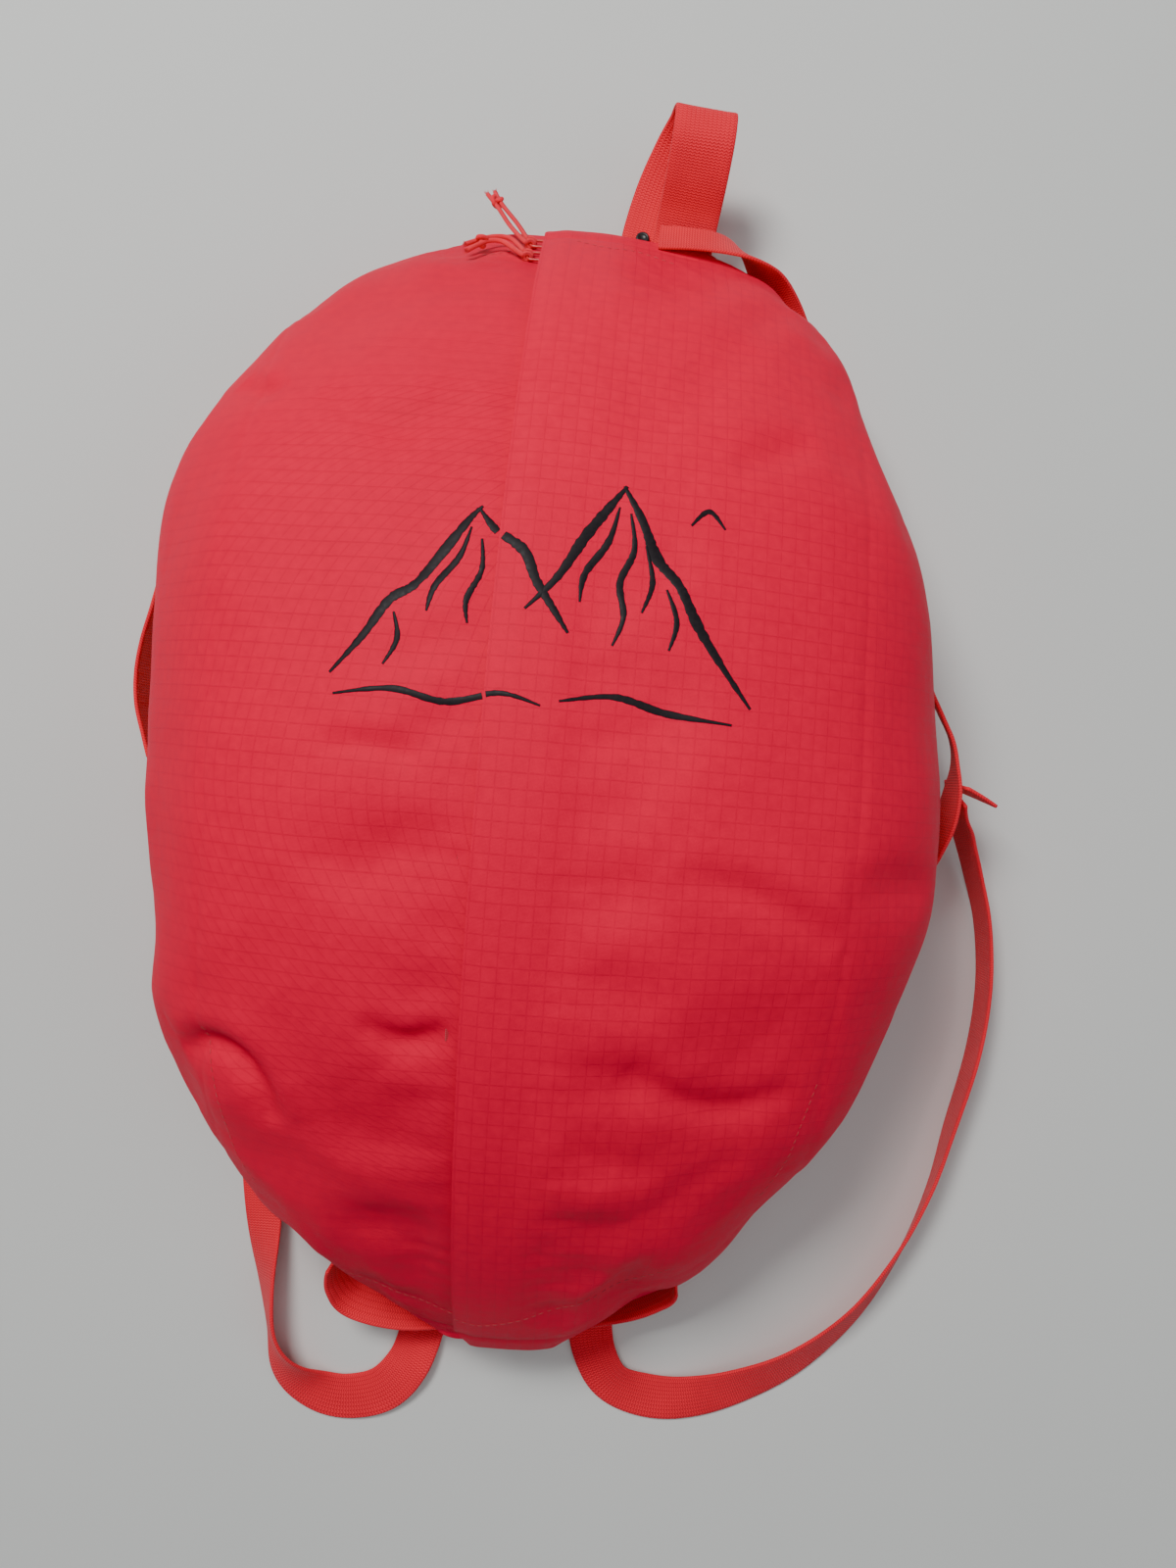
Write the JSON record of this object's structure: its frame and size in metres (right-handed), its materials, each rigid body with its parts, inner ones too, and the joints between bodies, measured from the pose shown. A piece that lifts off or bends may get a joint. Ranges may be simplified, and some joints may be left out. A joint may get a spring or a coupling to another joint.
{
  "type": "compression sack",
  "caption": "Soft zip-fronted travel sack of ripstop cloth, packed full and lying on its back, with a haul loop and thin carry straps.",
  "frame": {"origin": "on the surface that the back panel rests on, under the middle of the sack", "axes": "+X across the sack towards its right side panel, +Y towards the top end with the haul loop, +Z out of the front panels, up when the sack lies on its back"},
  "size_m": [0.3722, 0.58, 0.1498],
  "materials": {
    "ripstop_cloth": "coated ripstop nylon, satin",
    "strap_webbing": "ribbed nylon webbing",
    "zip_tape_weave": "woven polyester tape",
    "zip_coil_nylon": "nylon coil, matte",
    "painted_slider_metal": "red enamel on cast zinc",
    "pull_cord_weave": "braided cord",
    "black_snap_plastic": "moulded plastic, semi-gloss",
    "screen_print_ink": "thin screen-printed ink film"
  },
  "bodies": {
    "sack": {"back_panel": "ripstop_cloth", "bottom_panel": "ripstop_cloth", "left_front_panel": "ripstop_cloth", "left_lower_strap": "strap_webbing", "left_side_loop": "strap_webbing", "left_side_panel": "ripstop_cloth", "left_upper_strap": "strap_webbing", "right_front_panel": "ripstop_cloth", "right_lower_strap": "strap_webbing", "right_side_loop": "strap_webbing", "right_side_panel": "ripstop_cloth", "right_strap_tail": "strap_webbing", "right_upper_strap": "strap_webbing", "storm_flap": "ripstop_cloth", "top_panel": "ripstop_cloth", "zip_bottom_stop": "painted_slider_metal", "zip_coil_left": "zip_coil_nylon", "zip_coil_right": "zip_coil_nylon", "zip_tape_left": "zip_tape_weave", "zip_tape_right": "zip_tape_weave", "zip_top_stop": "painted_slider_metal"},
    "lower_slider": {"lower_slider": "painted_slider_metal"},
    "lower_pull": {"lower_pull_ring": "painted_slider_metal", "lower_cord_a": "pull_cord_weave", "lower_cord_b": "pull_cord_weave", "lower_cord_knot": "pull_cord_weave"},
    "upper_slider": {"upper_slider": "painted_slider_metal"},
    "upper_pull": {"upper_pull_ring": "painted_slider_metal", "upper_cord_a": "pull_cord_weave", "upper_cord_b": "pull_cord_weave", "upper_cord_knot": "pull_cord_weave"},
    "haul_loop": {"haul_loop": "strap_webbing", "haul_snap": "black_snap_plastic"},
    "bottom_handle": {"bottom_handle": "strap_webbing"}
  },
  "joints": [
    {"name": "lower_slider_travel", "type": "hinge", "parent": "sack", "child": "lower_slider", "pos_m": [0, 0, -0.15812], "axis": [1, 0, 0], "range_deg": [-0.1, 91.1]},
    {"name": "lower_pull_swing", "type": "hinge", "parent": "lower_slider", "child": "lower_pull", "pos_m": [-0.006, 0.21444, 0.05756], "axis": [0, 0.6978, 0.7163], "range_deg": [0, 25]},
    {"name": "upper_slider_travel", "type": "hinge", "parent": "sack", "child": "upper_slider", "pos_m": [0, 0, -0.15812], "axis": [1, 0, 0], "range_deg": [-0.12, 0.12]},
    {"name": "upper_pull_swing", "type": "hinge", "parent": "upper_slider", "child": "upper_pull", "pos_m": [-0.006, 0.22418, 0.04741], "axis": [0, 0.7302, 0.6833], "range_deg": [-10, 0]},
    {"name": "haul_loop_lift", "type": "hinge", "parent": "sack", "child": "haul_loop", "pos_m": [0.036, 0.231, 0.034], "axis": [1, 0, 0], "range_deg": [-8, 6]},
    {"name": "bottom_handle_lift", "type": "hinge", "parent": "sack", "child": "bottom_handle", "pos_m": [0, -0.207, 0.025], "axis": [1, 0, 0], "range_deg": [-12, 1.5]}
  ]
}
